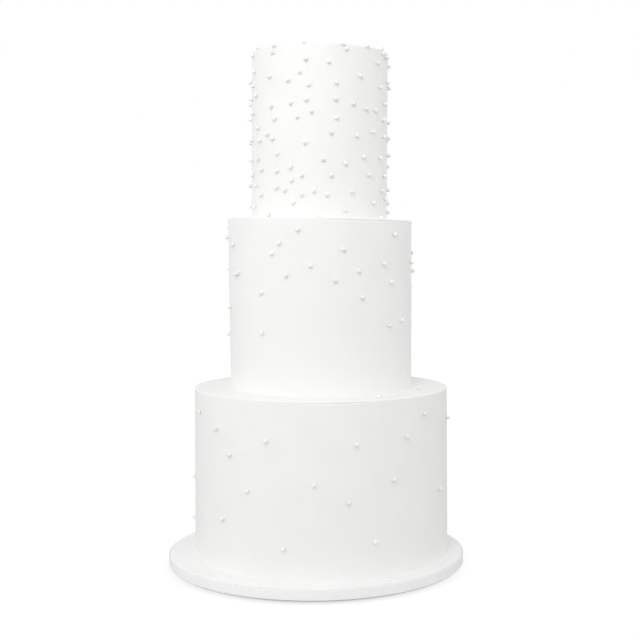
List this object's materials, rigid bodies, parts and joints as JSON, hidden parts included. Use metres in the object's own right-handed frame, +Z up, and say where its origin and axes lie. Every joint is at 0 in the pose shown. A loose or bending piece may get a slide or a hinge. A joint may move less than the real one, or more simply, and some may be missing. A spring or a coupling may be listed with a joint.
{
  "type": "tiered wedding cake",
  "caption": "Tall white wedding cake: smooth round iced tiers stacked on an iced round board, with small sugar pearls scattered thickly at the top and thinning out below.",
  "frame": {"origin": "middle of the board's underside", "axes": "+Z up the cake, -Y towards the front, +X to the cake's right as seen from the front"},
  "size_m": [0.3306, 0.3306, 0.5642],
  "materials": {
    "icing": "smooth white icing with a soft satin surface",
    "ribbon": "white satin ribbon",
    "pearl": "pearly sugar, ivory white"
  },
  "bodies": {
    "root": {"board": "icing", "board_ribbon": "ribbon", "tier_bottom": "icing", "tier_middle": "icing", "tier_top": "icing"}
  },
  "joints": []
}
